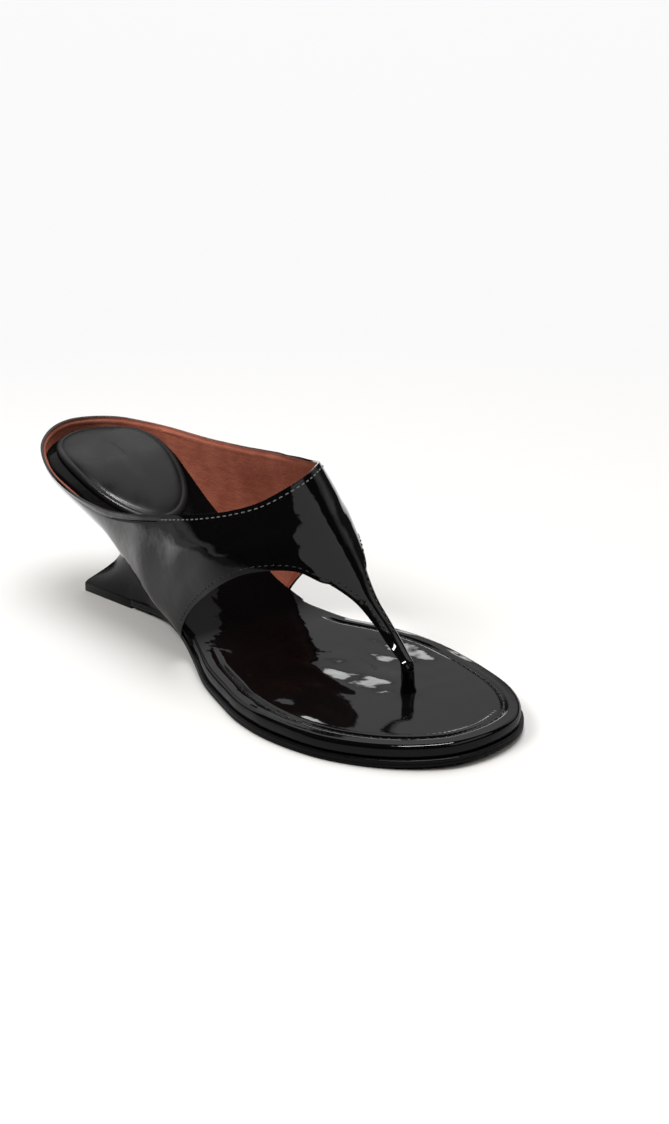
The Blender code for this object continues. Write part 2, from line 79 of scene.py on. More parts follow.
Rib = namedtuple("Rib", "collar belly edge")
SolePair = namedtuple("SolePair", "along outer inner")
StrapRow = namedtuple("StrapRow", "outer middle inner")
RearRib = namedtuple("RearRib", "collar_along collar_half outer_up inner_up belly_along belly_half belly_up "
                                "edge_along edge_half edge_up")

OUTER_VAMP = (
    Rib((-0.091, -0.145, 0.964), (-0.041, -0.164, 0.757), (-0.001, -0.157, 0.559)),
    Rib((-0.113, -0.363, 0.896), (-0.063, -0.410, 0.779), (-0.035, -0.361, 0.619)),
    Rib((-0.148, -0.531, 0.878), (-0.104, -0.651, 0.736), (-0.083, -0.593, 0.600)),
    Rib((-0.191, -0.704, 0.914), (-0.152, -0.824, 0.683), (-0.130, -0.714, 0.516)),
    Rib((-0.235, -0.859, 0.975), (-0.209, -0.993, 0.630), (-0.198, -0.812, 0.378)),
    Rib((-0.265, -0.946, 1.004), (-0.248, -1.097, 0.543), (-0.239, -0.854, 0.220)),
)
INNER_VAMP = (
    Rib((-0.109, 0.253, 1.013), (-0.057, 0.289, 0.793), (-0.001, 0.241, 0.574)),
    Rib((-0.128, 0.368, 1.007), (-0.078, 0.434, 0.786), (-0.039, 0.381, 0.643)),
    Rib((-0.150, 0.465, 1.012), (-0.109, 0.567, 0.758), (-0.083, 0.542, 0.607)),
    Rib((-0.185, 0.614, 1.047), (-0.152, 0.778, 0.720), (-0.141, 0.683, 0.531)),
    Rib((-0.230, 0.798, 1.134), (-0.213, 1.021, 0.655), (-0.217, 0.837, 0.366)),
    Rib((-0.261, 0.903, 1.189), (-0.252, 1.160, 0.567), (-0.250, 0.870, 0.226)),
)
STRAP_RIB = Rib((-0.093, 0.060, 0.996), (-0.039, 0.072, 0.779), (0.005, 0.072, 0.590))
STRAP = (
    StrapRow((0.028, -0.031, 0.479), (0.030, 0.084, 0.499), (0.030, 0.198, 0.469)),
    StrapRow((0.060, 0.022, 0.385), (0.061, 0.108, 0.399), (0.059, 0.197, 0.377)),
    StrapRow((0.085, 0.036, 0.307), (0.087, 0.111, 0.320), (0.088, 0.186, 0.297)),
)
STRAP_TIP = StrapRow((0.119, 0.024, 0.945), (0.121, 0.079, 1.0), (0.120, 0.134, 0.930))
ON_SOLE = None
REAR = (
    RearRib(-0.291, 0.995, 1.002, 1.213, -0.283, 1.170, 0.476, -0.263, 0.800, ON_SOLE),
    RearRib(-0.330, 1.005, 0.958, 1.192, -0.330, 1.189, 0.420, -0.304, 0.685, ON_SOLE),
    RearRib(-0.370, 1.009, 0.914, 1.168, -0.369, 1.085, 0.455, -0.346, 0.598, 0.130),
    RearRib(-0.417, 1.009, 0.878, 1.146, -0.411, 1.004, 0.538, -0.383, 0.559, 0.260),
    RearRib(-0.465, 1.013, 0.870, 1.126, -0.452, 0.924, 0.641, -0.422, 0.551, 0.388),
    RearRib(-0.515, 1.009, 0.888, 1.114, -0.493, 0.869, 0.701, -0.457, 0.533, 0.452),
    RearRib(-0.567, 0.984, 0.942, 1.108, -0.536, 0.849, 0.732, -0.477, 0.450, 0.480),
    RearRib(-0.617, 0.872, 1.008, 1.114, -0.595, 0.860, 0.748, -0.484, 0.332, 0.492),
    RearRib(-0.661, 0.659, 1.068, 1.132, -0.661, 0.724, 0.754, -0.487, 0.216, 0.498),
    RearRib(-0.689, 0.350, 1.120, 1.142, -0.713, 0.401, 0.746, -0.488, 0.105, 0.500),
)
BACK = RearRib(-0.700, 0.0, 1.142, 1.142, -0.725, 0.0, 0.744, -0.489, 0.0, 0.500)

TOE_TIP = (0.302, 0.020)
SOLE = tuple(SolePair(*row) for row in (
    (0.296, -0.240, 0.270),
    (0.280, -0.435, 0.460),
    (0.247, -0.650, 0.645),
    (0.200, -0.848, 0.795),
    (0.139, -1.006, 0.890),
    (0.061, -1.090, 0.954),
    (-0.009, -1.073, 0.950),
    (-0.074, -0.977, 0.873),
    (-0.139, -0.885, 0.760),
    (-0.200, -0.832, 0.780),
    (-0.252, -0.780, 0.824),
    (-0.304, -0.663, 0.700),
    (-0.365, -0.526, 0.560),
    (SOLE_BACK, -0.530, 0.530),
))

# How far the heel's foot has gone out to its base, at even shares of its height
FOOT_GONE = (0.0, 0.05, 0.21, 0.46, 0.74, 1.0)
FootPoint = namedtuple("FootPoint", "along half")
FOOT_RIB = len(OUTER_VAMP) + 2
FOOT_BASE = tuple(FootPoint(*row) for row in (
    (-0.306, 0.685),
    (-0.350, 0.545),
    (-0.405, 0.500),
    (-0.465, 0.525),
    (-0.520, 0.580),
    (-0.558, 0.615),
    (-0.5585, 0.440),
    (-0.559, 0.280),
    (-0.559, 0.140),
))
FOOT_BACK = FootPoint(-0.5605, 0.0)
LIFT_FRONT_HALF = 0.520

PAD_MIDDLE = -0.554
PAD_SIDE = 0.04
PAD_HALF_LENGTH = 0.131
PAD_HALF_WIDTH = 0.75
POST_FOOT = (0.118, 0.098)

# Fineness of the skins. The rows by an edge of the cover are measured from it, in millimetres.
RIB_STEPS = 8
EDGE_ROWS = (0.0, 0.5, 1.0, 1.45, 1.8, 2.15, 2.6, 3.4)
FAR_FROM_EDGE = 9 * MM
MIDDLE_ROWS = 18
CREASE_ROWS = 9
STRAP_FINE = 7
STRAP_LEAD = 0.72
OUTLINE_STEPS = 12
BORDER_STEPS = 5
LOW_ROW = 0.35
SIDE_ROWS = (0.9, 1.5, 2.2)
TOP_ROWS = (0.02, 0.12, 0.3, 0.55, 0.9, 1.3, 1.8, 2.5, 3.2, 3.7, 4.1, 4.5, 4.9, 5.25, 5.6, 5.95, 6.3, 6.7,
            7.1, 7.6, 8.2)
CROSS_FACES = 26
HEEL_STEPS = 8
FLARE_ROWS = 14
PAD_SIDES = 160
POST_SIDES = 40
POST_ROWS = 18

# The topline's turned edge, measured from the edge, and the ribs between which it fades out
BINDING_LINE = 2.1 * MM
BINDING_WIDTH = 0.35 * MM
BINDING_DEPTH = 0.28 * MM
BINDING_FADE = (5.0, 7.0)
SKIVED = 0.6

# The stitches, and the ribs at which the seams begin and end
Seam = namedtuple("Seam", "pitch length radius")
EDGE_SEAM = Seam(2.3 * MM, 1.6 * MM, 0.24 * MM)
CHANNEL_SEAM = Seam(3.0 * MM, 2.1 * MM, 0.3 * MM)
STITCH_INSET = 1.9 * MM
STITCH_RINGS = 7
STITCH_SIDES = 8
STITCH_SEED = 7
STITCH_WANDER = 0.05
COLLAR_SEAM_END = 6.6
COLLAR_SEAM_STEPS = 80
FRONT_SEAM = (6.0, 1.0)
FRONT_SEAM_STEPS = 109

# The channel sewn round the forefoot of the insole, and the soft rolls beside it
Roll = namedtuple("Roll", "rise away width")
CHANNEL_INSET = 5.6 * MM
CHANNEL_DEPTH = 0.55 * MM
CHANNEL_WIDTH = 0.85 * MM
CHANNEL_BACK = -0.175
CHANNEL_FADE = 0.05
PUCKER_DEPTH = 0.12 * MM
OUTER_ROLL = Roll(0.22 * MM, 1.9 * MM, 1.1 * MM)
INNER_ROLL = Roll(0.16 * MM, 1.7 * MM, 1.0 * MM)

# The insole's skin drawn in round the toe post: how many ripples, their turn and height in millimetres
RADIAL_RIPPLES = ((7, 0.4, 0.10), (11, 1.9, 0.08), (5, 2.6, 0.12))
RIPPLE_START = 3 * MM
RIPPLE_GROWS = 5 * MM
RIPPLE_REACH = 11 * MM
RIM_CALM = 9 * MM
POST_DENT = 0.5 * MM
POST_DENT_WIDTH = 4.5 * MM
SWELL = 0.16 * MM
SWELL_START = 7 * MM
SWELL_GROWS = 6 * MM
SWELL_SCALE = (26, 34)


def smooth(value):
    value = min(max(value, 0.0), 1.0)
    return value * value * (3 - 2 * value)


def blend(first, second, share):
    return first + (second - first) * share


def bump(distance, width):
    return math.exp(-(distance / width) ** 2)


def half_width(along):
    share = smooth((along - WAIST_TO_HEEL) / (BALL_TO_WAIST - WAIST_TO_HEEL))
    return blend(HEEL_WIDTH, BALL_WIDTH, share) / 2


def height(along):
    share = smooth((along - WAIST_TO_HEEL) / (BALL_TO_WAIST - WAIST_TO_HEEL))
    return blend(HEEL_HEIGHT, INSTEP_HEIGHT, share)


def place(along, across, up):
    return Vector((along * LENGTH, across * half_width(along), up * height(along)))


def outsole_bottom(x, y=0.0):
    along = x / LENGTH
    spring = max(along - SPRING_START, 0.0) / (TOE_TIP[0] - SPRING_START)
    arch = min(max((ARCH_START - along) / (ARCH_START - ARCH_END), 0.0), 1.0)
    return TOE_SPRING * spring ** 2 + ARCH_RISE * math.sin(math.pi * arch)


def outsole_top(x, y=0.0):
    return outsole_bottom(x) + OUTSOLE_THICKNESS


def insole_bottom(x, y=0.0):
    return insole_top(x, y) - INSOLE_THICKNESS


def insole_top(x, y=0.0):
    along = x / LENGTH
    forefoot = OUTSOLE_THICKNESS + GAP + INSOLE_THICKNESS
    ramp = smooth((RAMP_START - along) / (RAMP_START - RAMP_END))
    lift = outsole_bottom(x) if along > RAMP_START else outsole_bottom(x) * (1 - ramp)
    tilt = SEAT_TILT * ramp * (0.5 + y / HEEL_WIDTH)
    return forefoot + lift + (HEEL_HEIGHT - forefoot) * ramp + tilt


def catmull(before, start, end, after, share):
    square = share * share
    cube = square * share
    return 0.5 * (2 * start + (end - before) * share + (2 * before - 5 * start + 4 * end - after) * square
                  + (3 * start - before - 3 * end + after) * cube)


def rear_rib(row, side):
    collar_up = row.outer_up if side < 0 else row.inner_up
    collar = place(row.collar_along, side * row.collar_half, collar_up)
    belly = place(row.belly_along, side * row.belly_half, row.belly_up)
    edge = place(row.edge_along, side * row.edge_half, row.edge_up or 0.0)
    if row.edge_up is ON_SOLE:
        edge.z = outsole_top(edge.x) + GAP
    return Rib(collar, belly, edge)


def vamp_rib(row):
    return Rib(*(place(*point) for point in row))


def all_ribs():
    ring = [vamp_rib(STRAP_RIB)]
    ring += [vamp_rib(row) for row in OUTER_VAMP]
    ring += [rear_rib(row, -1) for row in REAR]
    ring.append(rear_rib(BACK, -1))
    ring += [rear_rib(row, 1) for row in reversed(REAR)]
    ring += [vamp_rib(row) for row in reversed(INNER_VAMP)]
    return ring


RIBS = all_ribs()
FIRST_COVERED = len(OUTER_VAMP) + 1
LAST_COVERED = len(RIBS) - FIRST_COVERED


def rib_at(turn):
    base = math.floor(turn)
    share = turn - base
    near = [RIBS[(base + step) % len(RIBS)] for step in (-1, 0, 1, 2)]
    rib = Rib(*(catmull(*(getattr(other, part) for other in near), share) for part in Rib._fields))
    rib.edge.z = max(rib.edge.z, outsole_top(rib.edge.x) + GAP)
    return rib


def cover_point(turn, down):
    rib = rib_at(turn)
    up = 1 - down
    return rib.collar * (up * up) + rib.belly * (2 * up * down) + rib.edge * (down * down)


def cover_normal(turn, down):
    low = max(down - 0.02, 0.0)
    high = min(down + 0.02, 1.0)
    along_rib = cover_point(turn, high) - cover_point(turn, low)
    round_ring = cover_point(turn + 0.02, down) - cover_point(turn - 0.02, down)
    return round_ring.cross(along_rib).normalized()


def inside_point(turn, down, depth):
    return cover_point(turn, down) - cover_normal(turn, down) * depth


def down_to(turn, depth, level):
    high, low = 0.0, 1.0
    for _ in range(24):
        middle = (high + low) / 2
        point = inside_point(turn, middle, depth)
        if point.z > level(point.x, point.y):
            high = middle
        else:
            low = middle
    return low


def open_curve(points, steps):
    held = [points[0] * 2 - points[1]] + list(points) + [points[-1] * 2 - points[-2]]
    curve = []
    for start in range(1, len(held) - 2):
        for step in range(steps):
            curve.append(catmull(*held[start - 1:start + 3], step / steps))
    curve.append(points[-1].copy())
    return curve


def lengths_along(route):
    arcs = [0.0]
    for before, point in zip(route, route[1:]):
        arcs.append(arcs[-1] + (point - before).length)
    return arcs


def sole_outline():
    tip = place(*TOE_TIP, 0.0)
    outer = [place(pair.along, pair.outer, 0.0) for pair in SOLE]
    inner = [place(pair.along, pair.inner, 0.0) for pair in SOLE]
    whole = open_curve(outer[::-1] + [tip] + inner, OUTLINE_STEPS)
    middle = len(whole) // 2
    return whole[middle::-1], whole[middle:]


def inset(ring, amount):
    area = sum(a.x * b.y - b.x * a.y for a, b in zip(ring, ring[1:] + ring[:1]))
    turn = 1.0 if area > 0 else -1.0
    moved = []
    for step, point in enumerate(ring):
        way = ring[(step + 1) % len(ring)] - ring[step - 1]
        side = Vector((-way.y, way.x, 0.0)).normalized() * turn
        moved.append(point + side * amount)
    return moved


def raised(ring, level, lift=0.0):
    return [Vector((point.x, point.y, level(point.x, point.y) + lift)) for point in ring]


# Materials


# The middle of the shoe and the photograph's ways across the floor
MIDDLE = (-0.04, 0.0, 0.03)
RIGHT = Vector((0.663, 0.749, 0.0)).normalized()
TOWARDS = Vector((0.749, -0.663, 0.0)).normalized()
LENGTHWAYS = Vector((1.0, 0.0, 0.0))

# The footbed forward of the ball: where the painted shade that dims the gloss of its ramp gives way, where
# its waves lie down towards the toe, and where the broad dents between begin and end
SHADE_TO_GLOSS = (-50 * MM, -34 * MM)
WAVY_TO_FLAT = (12 * MM, 35 * MM)
DENTS_BEGIN = (-16 * MM, -2 * MM)
DENTS_END = (14 * MM, 34 * MM)
SHADED_SPECULAR = 0.06
GLOSS = 0.5
FLATTENED = 0.3


def new_material(name):
    material = bpy.data.materials.new(name)
    material.use_nodes = True
    return material, material.node_tree


def coordinates(tree, space="Object"):
    return tree.nodes.new("ShaderNodeTexCoord").outputs[space]


def seen_by(tree, rays):
    """One for the rays of a kind, and nothing for others."""
    return tree.nodes.new("ShaderNodeLightPath").outputs[f"Is {rays} Ray"]


def feed(tree, socket, value):
    """Gives a socket a plain number or colour, or links it to the socket that works it out."""
    if isinstance(value, bpy.types.NodeSocket):
        tree.links.new(value, socket)
    else:
        socket.default_value = (*value, 1.0) if isinstance(value, tuple) else value


def dress(tree, settings):
    """Sets the material's own shader, by the names of its sockets."""
    for name, value in settings.items():
        feed(tree, tree.nodes["Principled BSDF"].inputs[name], value)


def add_noise(tree, scale, detail=2.0, roughness=0.5, stretch=(1.0, 1.0, 1.0)):
    mapping = tree.nodes.new("ShaderNodeMapping")
    mapping.inputs["Scale"].default_value = stretch
    texture = tree.nodes.new("ShaderNodeTexNoise")
    texture.inputs["Scale"].default_value = scale
    texture.inputs["Detail"].default_value = detail
    texture.inputs["Roughness"].default_value = roughness
    tree.links.new(coordinates(tree), mapping.inputs["Vector"])
    tree.links.new(mapping.outputs["Vector"], texture.inputs["Vector"])
    return texture.outputs["Fac"]


def add_bump(tree, height_socket, distance, strength, below=None):
    node = tree.nodes.new("ShaderNodeBump")
    node.inputs["Distance"].default_value = distance
    node.inputs["Strength"].default_value = strength
    tree.links.new(height_socket, node.inputs["Height"])
    if below is not None:
        tree.links.new(below, node.inputs["Normal"])
    return node.outputs["Normal"]


def add_range(tree, socket, low, high, from_low=0.3, from_high=0.7):
    node = tree.nodes.new("ShaderNodeMapRange")
    node.inputs["From Min"].default_value = from_low
    node.inputs["From Max"].default_value = from_high
    node.inputs["To Min"].default_value = low
    node.inputs["To Max"].default_value = high
    tree.links.new(socket, node.inputs["Value"])
    return node.outputs["Result"]


def along(tree, way, space="Object"):
    """How far the point lies along a level direction."""
    measure = tree.nodes.new("ShaderNodeVectorMath")
    measure.operation = 'DOT_PRODUCT'
    measure.inputs[1].default_value = way
    tree.links.new(coordinates(tree, space), measure.inputs[0])
    return measure.outputs["Value"]


def combine(tree, operation, *values):
    node = tree.nodes.new("ShaderNodeMath")
    node.operation = operation
    for socket, value in zip(node.inputs, values):
        feed(tree, socket, value)
    return node.outputs["Value"]


def multiply(tree, first, second):
    return combine(tree, 'MULTIPLY', first, second)


def mix_colour(tree, factor, first, second):
    node = tree.nodes.new("ShaderNodeMix")
    node.data_type = 'RGBA'
    for name, value in (("Factor", factor), ("A", first), ("B", second)):
        feed(tree, node.inputs[name], value)
    return node.outputs["Result"]


def window(tree, socket, opening, closing, level=1.0):
    """Full between two soft edges, given by their starts and ends, and nothing outside them."""
    return multiply(tree, add_range(tree, socket, 0.0, level, *opening),
                    add_range(tree, socket, 1.0, 0.0, *closing))


def patent_material(name, colour, roughness, wave, grain, coat=0.0, specular=GLOSS, footbed=False):
    """Patent leather: black under a poured film, with slow waves and very fine orange peel."""
    material, tree = new_material(name)
    smears = add_noise(tree, scale=60.0, detail=3.0)
    waves = add_noise(tree, scale=60.0, detail=3.0, roughness=0.55)
    slow = add_bump(tree, waves, distance=1 * MM, strength=wave)
    if footbed:
        forward = along(tree, LENGTHWAYS)
        # Painted shade: the footbed's gloss is dimmed behind the ball, where the band's shade falls
        specular = add_range(tree, forward, SHADED_SPECULAR, GLOSS, *SHADE_TO_GLOSS)
        tree.links.new(add_range(tree, forward, wave, FLATTENED * wave, *WAVY_TO_FLAT),
                       slow.node.inputs["Strength"])
        broad = add_noise(tree, scale=42.0, detail=1.0, roughness=0.4, stretch=(1.0, 1.6, 1.0))
        slow = add_bump(tree, broad, distance=4 * MM, strength=1.0, below=slow)
        tree.links.new(window(tree, forward, DENTS_BEGIN, DENTS_END), slow.node.inputs["Strength"])
    peel = add_noise(tree, scale=900.0, detail=2.0)
    fine = add_bump(tree, peel, distance=0.1 * MM, strength=grain, below=slow)
    dress(tree, {"Base Color": colour, "Roughness": add_range(tree, smears, roughness * 0.7, roughness * 1.5),
                 "IOR": 1.5, "Specular IOR Level": specular, "Normal": fine,
                 "Coat Weight": coat, "Coat Roughness": 0.02, "Coat IOR": 1.45, "Coat Normal": slow})
    return material


def lining_material():
    """Red-brown calf lining with pores, darker in its creases. Its image in the gloss is painted near black:
    painted shade, standing in for the shade under the band.
    """
    material, tree = new_material("calf lining")
    clouds = add_range(tree, add_noise(tree, scale=120.0, detail=4.0, roughness=0.6), 0.0, 1.0)
    calf = mix_colour(tree, clouds, (0.330, 0.095, 0.058), (0.470, 0.150, 0.095))
    # Painted shade: in glossy rays the lining is painted near black, for the shade under the band
    colour = mix_colour(tree, seen_by(tree, "Glossy"), calf, (0.045, 0.012, 0.008))
    folds = add_noise(tree, scale=260.0, detail=3.0, roughness=0.6, stretch=(0.5, 1.0, 1.6))
    wrinkles = add_bump(tree, folds, distance=0.6 * MM, strength=0.55)
    pores = tree.nodes.new("ShaderNodeTexVoronoi")
    pores.inputs["Scale"].default_value = 1400.0
    tree.links.new(coordinates(tree), pores.inputs["Vector"])
    skin = add_bump(tree, pores.outputs["Distance"], distance=0.2 * MM, strength=0.4, below=wrinkles)
    dress(tree, {"Base Color": colour, "Roughness": 0.5, "Specular IOR Level": 0.35, "Normal": skin})
    return material


def satin_material(name, colour, roughness, grain_scale, grain):
    material, tree = new_material(name)
    smears = add_noise(tree, scale=300.0, detail=4.0)
    skin = add_bump(tree, add_noise(tree, grain_scale, detail=3.0), distance=0.2 * MM, strength=grain)
    dress(tree, {"Base Color": colour, "Roughness": add_range(tree, smears, roughness * 0.8, roughness * 1.3),
                 "Specular IOR Level": 0.3, "Normal": skin})
    return material


def thread_material(name, shade):
    material, tree = new_material(name)
    fibres = add_bump(tree, add_noise(tree, scale=3000.0, detail=1.0), distance=0.1 * MM, strength=0.4)
    dress(tree, {"Base Color": (shade, shade, shade), "Roughness": 0.25, "Normal": fibres})
    return material


BLACK = (0.0030, 0.0028, 0.0028)
FOOTBED_BLACK = (0.0030, 0.0027, 0.0027)
PAD_BLACK = (0.011, 0.0105, 0.011)
SOLE_BLACK = (0.004, 0.0038, 0.0038)
RUBBER_BLACK = (0.004, 0.004, 0.004)
PATENT = patent_material("patent leather upper", BLACK, roughness=0.05, wave=0.40, grain=0.10, coat=0.15)
PATENT_SOLE = patent_material("patent leather insole", FOOTBED_BLACK, roughness=0.05, wave=0.42, grain=0.10,
                              footbed=True)
PATENT_HEEL = patent_material("patent leather heel", BLACK, roughness=0.08, wave=0.20, grain=0.10,
                              specular=0.2)
PATENT_PAD = patent_material("patent leather pad", PAD_BLACK, roughness=0.32, wave=0.10, grain=0.25)
LINING = lining_material()
SOLE_LEATHER = satin_material("outsole leather", SOLE_BLACK, roughness=0.30, grain_scale=500.0, grain=0.25)
LIFT_RUBBER = satin_material("top lift rubber", RUBBER_BLACK, roughness=0.4, grain_scale=800.0, grain=0.3)
# Painted highlight: the collar's black thread is given a grey colour to stand in for the sheen on its
# stitches
SHEEN_GREY_THREAD = thread_material("waxed thread", shade=0.16)
DARK_THREAD = thread_material("dark waxed thread", shade=0.02)


# Meshes


def add_object(name, data):
    thing = bpy.data.objects.new(name, data)
    bpy.context.scene.collection.objects.link(thing)
    return thing


def add_mesh(name, form, materials):
    mesh = bpy.data.meshes.new(name)
    form.to_mesh(mesh)
    form.free()
    for material in materials:
        mesh.materials.append(material)
    return add_object(name, mesh)


def settle(form):
    bmesh.ops.recalc_face_normals(form, faces=form.faces)


def add_piece(name, form, materials, replaced=()):
    piece = add_mesh(name, form, materials)
    piece.data.shade_smooth()
    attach(piece, "root")
    if replaced:
        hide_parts(*replaced)
    return piece


def add_solid(name, form, material, slot, *replaced):
    """A closed piece of one material, its faces turned outwards."""
    settle(form)
    return add_piece(name, form, (material,), replaced)


def round_edges(piece, width, angle):
    rounding = piece.modifiers.new("rounding", 'BEVEL')
    rounding.width = width
    rounding.segments = 3
    rounding.limit_method = 'ANGLE'
    rounding.angle_limit = math.radians(angle)


def add_ring(form, points):
    return [form.verts.new(point) for point in points]


def sheet(form, lanes):
    """Faces between lanes of vertices that lie side by side."""
    for lane, following in zip(lanes, lanes[1:]):
        for step in range(len(lane) - 1):
            form.faces.new((lane[step], lane[step + 1], following[step + 1], following[step]))


def walls(form, rings):
    sheet(form, [ring + ring[:1] for ring in rings])


def add_tube(form, rows):
    """Rings joined by walls, with a flat face over each end."""
    walls(form, rows)
    form.faces.new(rows[0])
    form.faces.new(rows[-1][::-1])


def close_across(form, ring):
    """Faces from side to side across a long ring whose first vertex is its tip."""
    count = len(ring)
    form.faces.new((ring[0], ring[1], ring[-1]))
    for step in range(1, (count - 1) // 2):
        form.faces.new((ring[step], ring[step + 1], ring[-step - 1], ring[-step]))
    if count % 2 == 0:
        form.faces.new(ring[count // 2 - 1:count // 2 + 2])


def strap_point(row, across):
    outer, middle, inner = row
    bow = middle - (outer + inner) / 2
    return blend(outer, inner, (across + 1) / 2) + bow * (1 - across * across)


JUNCTION = StrapRow(RIBS[1].edge, RIBS[0].edge, RIBS[-1].edge)


def strap_tip():
    """The strap's end, whose heights are shares of its rise over the insole."""
    tip = []
    for along, across, rise in STRAP_TIP:
        point = place(along, across, 0.0)
        point.z = insole_top(point.x) + rise * STRAP_TIP_RISE
        tip.append(point)
    return StrapRow(*tip)


STRAP_ROWS = [StrapRow(*(place(*point) for point in row)) for row in STRAP] + [strap_tip()]


def signed_turn(turn):
    return turn - len(RIBS) if turn > len(RIBS) / 2 else turn


def vamp_surface(turn, down):
    """The cover's outer face, with its lower edge drawn to the root of the strap."""
    point = cover_point(turn, down)
    side = signed_turn(turn)
    if abs(side) <= 1:
        point = point + (strap_point(JUNCTION, -side) - cover_point(turn, 1.0)) * down ** 2
    return point


def row_shares(turn):
    """Rows close together by both edges of the cover, where the turned edges and stitches are."""
    rib = rib_at(turn)
    top = 2 * (rib.belly - rib.collar).length
    low = 2 * (rib.edge - rib.belly).length
    first = [row * MM / top for row in EDGE_ROWS]
    last = [1 - row * MM / low for row in reversed(EDGE_ROWS)]
    start, end = first[-1], last[0]
    return first + [blend(start, end, row / MIDDLE_ROWS) for row in range(1, MIDDLE_ROWS)] + last


def edge_groove(side, row_distance):
    """Depth of the line below the topline's turned edge, from the waist round the heel."""
    start, end = BINDING_FADE
    reach = smooth((abs(side) - start) / (end - start))
    return BINDING_DEPTH * reach * bump(row_distance - BINDING_LINE, BINDING_WIDTH)


# Troughs and ridges in the band, each by its middle and the way it runs, in ribs and shares down, and
# by its height in millimetres
Crease = namedtuple("Crease", "turn down length width lean height")
CREASES = (
    Crease(2.6, 0.42, 1.3, 0.10, 0.10, -0.30),
    Crease(3.2, 0.60, 1.1, 0.08, -0.06, 0.22),
    Crease(1.6, 0.70, 0.8, 0.10, 0.12, -0.26),
    Crease(4.4, 0.35, 1.4, 0.12, -0.05, 0.20),
    Crease(5.3, 0.62, 1.1, 0.10, 0.08, -0.22),
    Crease(0.3, 0.45, 0.8, 0.12, 0.02, 0.22),
    Crease(-1.6, 0.50, 1.2, 0.11, 0.07, -0.26),
    Crease(-3.2, 0.62, 1.3, 0.10, -0.07, 0.22),
)


def crease_height(side, down):
    total = 0.0
    for crease in CREASES:
        along = (side - crease.turn) / crease.length
        across = (down - crease.down - crease.lean * (side - crease.turn)) / crease.width
        total += crease.height * MM * math.exp(-along * along - across * across)
    return total


def make_upper():
    form = bmesh.new()
    count = len(RIBS) * RIB_STEPS
    columns = []
    for column in range(count):
        turn = column / RIB_STEPS
        side = signed_turn(turn)
        shares = row_shares(turn)
        column_points = []
        for row, down in enumerate(shares):
            point = vamp_surface(turn, down)
            distance = EDGE_ROWS[row] * MM if row < len(EDGE_ROWS) else FAR_FROM_EDGE
            inward = smooth(min(row, len(shares) - 1 - row) / CREASE_ROWS)
            lift = crease_height(side, down) * inward - edge_groove(side, distance)
            column_points.append(point + cover_normal(turn, down) * lift)
        columns.append(column_points)
    verts = [add_ring(form, points) for points in columns]
    sheet(form, verts + verts[:1])
    lanes = []
    for step in range(RIB_STEPS, -RIB_STEPS - 1, -1):
        column = step % count
        across = -step / RIB_STEPS
        route = [columns[column][-1]] + [strap_point(row, across) for row in STRAP_ROWS]
        beside = columns[(step + (1 if step > 0 else -1) * 3) % count][-1]
        before = blend(cover_point(column / RIB_STEPS, STRAP_LEAD), beside, abs(across) ** 4)
        held = [before] + route + [route[-1] * 2 - route[-2]]
        lane = [verts[column][-1]]
        for start in range(1, len(held) - 2):
            for piece in range(1, STRAP_FINE + 1):
                lane.append(form.verts.new(catmull(*held[start - 1:start + 3], piece / STRAP_FINE)))
        lanes.append(lane)
    sheet(form, lanes)
    settle(form)
    toe_face = max(form.faces, key=lambda face: face.calc_center_median().x)
    if toe_face.normal.z < 0:
        bmesh.ops.reverse_faces(form, faces=form.faces)
    upper = add_piece("upper_skin", form, (PATENT, LINING), ("upper",))
    full = upper.vertex_groups.new(name="full_wall")
    rows = len(columns[0])
    for number in range(len(upper.data.vertices)):
        row = number % rows if number < count * rows else rows
        near = min(row, rows - 1 - row) if row < rows else 0
        share = smooth((EDGE_ROWS[min(near, len(EDGE_ROWS) - 1)]) / EDGE_ROWS[-1])
        full.add([number], SKIVED + (1 - SKIVED) * share, 'REPLACE')
    wall = upper.modifiers.new("wall", 'SOLIDIFY')
    wall.vertex_group = "full_wall"
    wall.thickness = UPPER_WALL
    wall.offset = -1.0
    wall.use_even_offset = True
    wall.material_offset = 1
    wall.material_offset_rim = 0
    round_edges(upper, 0.3 * MM, 50)


make_upper()


RIM_LEAVES_COVER = 0.6 * MM


def insole_border(level):
    """The insole's outline seen from above: bare round the forefoot, inside the cover behind it."""
    outer, inner = sole_outline()
    depth = UPPER_WALL + SKIN_GAP
    turns = [FIRST_COVERED + step / BORDER_STEPS
             for step in range((LAST_COVERED - FIRST_COVERED) * BORDER_STEPS + 1)]
    hidden = [inside_point(turn, down_to(turn, depth, level), depth) for turn in turns]
    ahead = max(RIM_MEETS_COVER * LENGTH, hidden[0].x + RIM_LEAVES_COVER, hidden[-1].x + RIM_LEAVES_COVER)
    free_outer = [point for point in outer if point.x > ahead]
    free_inner = [point for point in inner if point.x > ahead]
    count = min(len(free_outer), len(free_inner))
    free = inset(free_outer[:count] + free_inner[count - 1:0:-1], RIM_INSET)
    return free[:count] + hidden + free[count:]


# A point on the insole's middle line, and the waist from its front to its back with the run of each end
INSOLE_HEART = Vector((-50 * MM, 0.0, 0.0))
WAIST_FRONT = (-30 * MM, 16 * MM)
WAIST_BACK = (-125 * MM, 20 * MM)


def inward_ways(ring):
    """The way inwards from each point of the outline. In the waist it runs straight across."""
    count = len(ring)
    ways = []
    for step, point in enumerate(ring):
        along = ring[(step + 3) % count] - ring[step - 3]
        square = Vector((-along.y, along.x, 0.0)).normalized()
        across = ring[(count - step) % count] - point
        across.z = 0.0
        if square.dot(INSOLE_HEART - point) < 0:
            square.negate()
        waist = (smooth((WAIST_FRONT[0] - point.x) / WAIST_FRONT[1])
                 * smooth((point.x - WAIST_BACK[0]) / WAIST_BACK[1]))
        ways.append(blend(square, across.normalized(), waist).normalized())
    return ways


